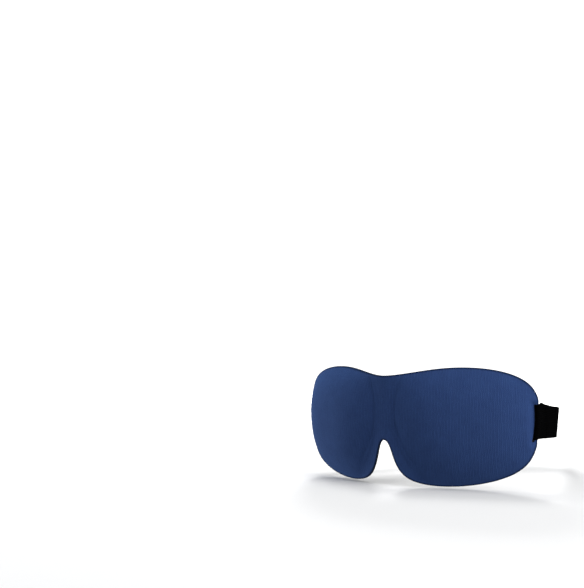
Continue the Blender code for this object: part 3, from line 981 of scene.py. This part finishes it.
# Every station stays where the route turns, and every fourth where it is straight.
direction = np.unwrap(np.arctan2(*np.gradient(stations[:, :2], axis=0).T[::-1]))
keep = np.abs(np.gradient(direction)) > TURN_LIMIT
keep[::4] = True
keep[-1] = True
stations, lengths, bow = stations[keep], lengths[keep], bow[keep]
lean = TWIST * smoothstep(TWIST_START, TWIST_END, stations[:, 1])
strap = make_elastic("elastic_strap", stations, lengths, bow, lean)
dress(strap, elastic)
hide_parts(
    "strap_loop_right", "strap_loop_left", "strap_side_right", "strap_side_left", "strap_back"
)
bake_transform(strap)

# The adjuster layer runs back to the slider, round its centre bar and forward again.
# Each row is a place along the side run and a depth inward of it.
bar_run = SLIDER_RUN + 1.5
layers = [(SEWN_START, LAYER_PITCH), (SEWN_START + 6.0, LAYER_PITCH), (bar_run, LAYER_PITCH)]
layers += arc_points((bar_run, LAYER_PITCH + BAR_TURN), BAR_TURN, -90.0, 90.0, 10)[1:]
layers += [(SLIDER_RUN - 3.0, LAYER_PITCH + 2 * BAR_TURN), (SLIDER_RUN - 7.5, 2 * LAYER_PITCH)]
layers += [(SLIDER_RUN - 15.0, 2 * LAYER_PITCH)]
route = mirrored([layer_row(run, inward) for run, inward in layers])
stations, lengths, bow = resample(route, ADJUSTER_STEP)
adjuster = make_elastic("elastic_adjuster", stations, lengths, bow, np.zeros(len(lengths)))
dress(adjuster, elastic)
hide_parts("strap_adjuster")
near = run_frame(SEWN_START, -1).translation
far = run_frame(SLIDER_RUN - 16.0, -1).translation
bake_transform(adjuster)


# ----------------------------------------------------------------- the slider
def block_object(name, size, centre):
    mesh = bmesh.new()
    bmesh.ops.create_cube(mesh, size=1.0)
    matrix = Matrix.Translation(Vector(centre) * MM) @ Matrix.Diagonal((*[s * MM for s in size], 1.0))
    bmesh.ops.transform(mesh, matrix=matrix, verts=mesh.verts)
    return object_from_bmesh(name, mesh)


def make_slider():
    """Ladder frame: end bars outside the strap, rails at its edges, one bar inside."""
    inner = CENTRE_BAR_IN + BAR_THICK / 2
    outer = END_BAR_OUT + BAR_THICK / 2
    depth = inner + outer
    rail_z = STRAP_HEIGHT / 2 + RAIL_CLEAR + RAIL_HEIGHT / 2
    window = 2 * rail_z - RAIL_HEIGHT
    size = (SLIDER_LENGTH, depth, 2 * rail_z + RAIL_HEIGHT)
    body = block_object("slider_frame", size, (0, (outer - inner) / 2, 0))
    opening = SLIDER_LENGTH - 2 * END_BAR_WIDTH
    tunnel = depth - BAR_THICK + 2.0
    size = (SLIDER_LENGTH + 2, tunnel, window)
    inside_tool = block_object("slider_inside", size, (0, outer - BAR_THICK - tunnel / 2, 0))
    window_tool = block_object("slider_window", (opening, 4 * BAR_THICK, window), (0, outer, 0))
    size = (END_BAR_WIDTH, BAR_THICK, window + RAIL_HEIGHT)
    bar = block_object("slider_bar", size, (0, -CENTRE_BAR_IN, 0))
    steps = [("DIFFERENCE", inside_tool), ("DIFFERENCE", window_tool), ("UNION", bar)]
    apply_booleans(body, steps)
    body.data.transform(run_frame(SLIDER_RUN, -1))
    bevel = body.modifiers.new("Edges", "BEVEL")
    bevel.width = SLIDER_ROUND * MM
    bevel.segments = 3
    bevel.limit_method = "ANGLE"
    bevel.angle_limit = math.radians(40.0)
    smooth(body, 35.0)
    return body


slider = make_slider()
dress(slider, plastic_material())
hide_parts("slider")
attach(slider, "slider")


# -------------------------------------------------------------- the stitching
def bar_tack(name, run, side, depth):
    """Dense zigzag of thread, depth inward of the strap's middle, or outward if negative."""
    made = run_frame(run, side)
    outward = 1.0 if depth < 0 else -1.0
    points = []
    for k in range(TACK_PASSES):
        start = TACK_WIDTH / 2 * (-1) ** k
        for share, lift in PASS_SHAPE:
            x = start * (1.0 - 2.0 * share)
            z = ((k + share) / TACK_PASSES - 0.5) * TACK_HEIGHT
            points.append(made @ (Vector((x, outward * (abs(depth) + lift), z)) * MM))
    curve = bpy.data.curves.new(name, "CURVE")
    curve.dimensions = "3D"
    curve.bevel_depth = THREAD_RADIUS * MM
    curve.bevel_resolution = 2
    curve.use_fill_caps = True
    spline = curve.splines.new("POLY")
    spline.points.add(len(points) - 1)
    for target, point in zip(spline.points, points):
        target.co = (*point, 1.0)
    obj = add_object(name, curve)
    dress(obj, thread)
    return obj


thread = thread_material()
sewn_middle = (SEWN_START + SEWN_END) / 2
inner_face = LAYER_PITCH + STRAP_THICK / 2
tack_right_in = bar_tack("stitch_right_inner", sewn_middle, 1, inner_face)
tack_right_out = bar_tack("stitch_right_outer", sewn_middle, 1, -STRAP_THICK / 2)
tack_slider_in = bar_tack("stitch_slider_inner", SLIDER_RUN - 11.0, -1, LAYER_PITCH + inner_face)
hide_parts("bar_tack_right")
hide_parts("bar_tack_slider")
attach(tack_right_in, "mask")
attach(tack_right_out, "mask")
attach(tack_slider_in, "slider")

# ------------------------------------------------------------- camera, lights
# The camera's direction and distance from the origin, in metres, and its roll.
AZIMUTH, ELEVATION, ROLL = math.radians(37.65), math.radians(4.44), math.radians(-0.28)
DISTANCE = 0.896
LENS = 73.3653
# It looks this far left of the origin and above it.
YAW, PITCH = math.radians(4.33325), math.radians(6.40018)

# The floor is flat in the middle and bends up into a round wall, in metres.
FLOOR_Z = -0.0425
FLOOR_RINGS = (0.6, 1.6)
WALL_REACH, WALL_TOP = 3.0, 3.5
WALL_BEND = 0.8
FLOOR_SIDES = 72
FLOOR_COLOUR = (0.77, 0.77, 0.77, 1.0)

# Square soft boxes: place, aim, width and power.
LIGHTS = (
    ("left_box", (-1.35, 0.0, -0.15), (0.0, 0.0, 0.0), 0.8, 13.6),
    ("high_left_box", (-0.55, 0.5, 1.0), (-0.06, 0.0, 0.0), 0.35, 5.0),
    ("right_box", (1.35, -0.05, 0.35), (0.0, 0.0, 0.0), 0.8, 14.0),
    ("back_box", (-0.86, 1.12, 0.56), (0.0, 0.0, 0.0), 0.3, 20.0),
    ("top_box", (0.0, -0.1, 1.4), (0.0, 0.0, 0.0), 1.0, 4.0),
)
# Strength of the studio's even light from below and from above.
LIGHT_BELOW, LIGHT_ABOVE = 0.2, 0.58


def turned_pair(first, second, angle):
    """Both directions turned by the angle in their own plane, the first towards the second."""
    cos, sin = math.cos(angle), math.sin(angle)
    return first * cos + second * sin, second * cos - first * sin


def make_camera():
    across = math.cos(ELEVATION)
    place = (math.sin(AZIMUTH) * across, -math.cos(AZIMUTH) * across, math.sin(ELEVATION))
    back = Vector(place)
    right = Vector((math.cos(AZIMUTH), math.sin(AZIMUTH), 0.0))
    up = back.cross(right)
    right, up = turned_pair(right, up, ROLL)
    away, right = turned_pair(back, right, YAW)
    up, away = turned_pair(up, away, PITCH)
    data = bpy.data.cameras.new("camera")
    data.sensor_width = 36.0
    data.lens = LENS
    camera = add_object("camera", data)
    camera.matrix_world = axes_matrix(right, up, away, back * DISTANCE)
    bpy.context.scene.camera = camera


def area_light(name, place, aim, size, power):
    data = bpy.data.lights.new(name, "AREA")
    data.shape = "SQUARE"
    data.size = size
    data.energy = power
    light = add_object(name, data)
    light.location = place
    light.rotation_euler = (Vector(aim) - Vector(place)).to_track_quat("-Z", "Y").to_euler()


def make_stage():
    """Round pale floor under the mask that curves up into a far wall.

    It shows shadows, but throws no light or shadow of its own on the mask.
    """
    profile = [(reach, FLOOR_Z) for reach in FLOOR_RINGS]
    for t in np.linspace(0.0, math.pi / 2, 12):
        reach = WALL_REACH - WALL_BEND + WALL_BEND * math.sin(t)
        profile.append((reach, FLOOR_Z + WALL_BEND - WALL_BEND * math.cos(t)))
    profile.append((WALL_REACH, WALL_TOP))
    verts, faces = [(0.0, 0.0, FLOOR_Z)], []
    for reach, z in profile:
        for k in range(FLOOR_SIDES):
            angle = 2 * math.pi * k / FLOOR_SIDES
            verts.append((reach * math.cos(angle), reach * math.sin(angle), z))
    for k in range(FLOOR_SIDES):
        m = (k + 1) % FLOOR_SIDES
        faces.append((0, 1 + k, 1 + m))
        for row in range(len(profile) - 1):
            a, b = 1 + row * FLOOR_SIDES, 1 + (row + 1) * FLOOR_SIDES
            faces.append((a + k, b + k, b + m, a + m))
    data = bpy.data.meshes.new("floor")
    data.from_pydata(verts, [], faces)
    data.shade_smooth()
    obj = add_object("floor", data)
    obj.visible_diffuse = False
    obj.visible_glossy = False
    obj.visible_shadow = False
    nodes = Nodes("pale_floor")
    white = (1.0, 1.0, 1.0, 1.0)
    nodes.finish(FLOOR_COLOUR, 0.9, Specular_IOR_Level=0.0, Emission_Color=white)
    # It glows faintly near the mask and brightly far from it, like a lit white backdrop.
    reach = nodes.add("ShaderNodeVectorMath", operation="LENGTH")
    nodes.link(nodes.position(), reach.inputs[0])
    glow = nodes.remap(reach.outputs["Value"], 0.4, 1.2, 0.06, 0.9)
    nodes.link(glow, nodes.shader.inputs["Emission Strength"])
    data.materials.append(nodes.material)


def make_world():
    """Soft studio light all round: dim from below, brighter from above."""
    world = bpy.data.worlds.new("studio")
    bpy.context.scene.world = world
    world.use_nodes = True
    tree = world.node_tree
    background = tree.nodes["Background"]
    background.inputs["Color"].default_value = (0.97, 0.985, 1.0, 1.0)
    place = tree.nodes.new("ShaderNodeTexCoord")
    split = tree.nodes.new("ShaderNodeSeparateXYZ")
    remap = tree.nodes.new("ShaderNodeMapRange")
    for socket, number in zip(list(remap.inputs)[1:5], (-1.0, 1.0, LIGHT_BELOW, LIGHT_ABOVE)):
        socket.default_value = number
    tree.links.new(place.outputs["Generated"], split.inputs[0])
    tree.links.new(split.outputs["Z"], remap.inputs[0])
    tree.links.new(remap.outputs[0], background.inputs["Strength"])


make_camera()
make_stage()
make_world()
for light in LIGHTS:
    area_light(*light)
bpy.context.scene.view_settings.view_transform = "Standard"
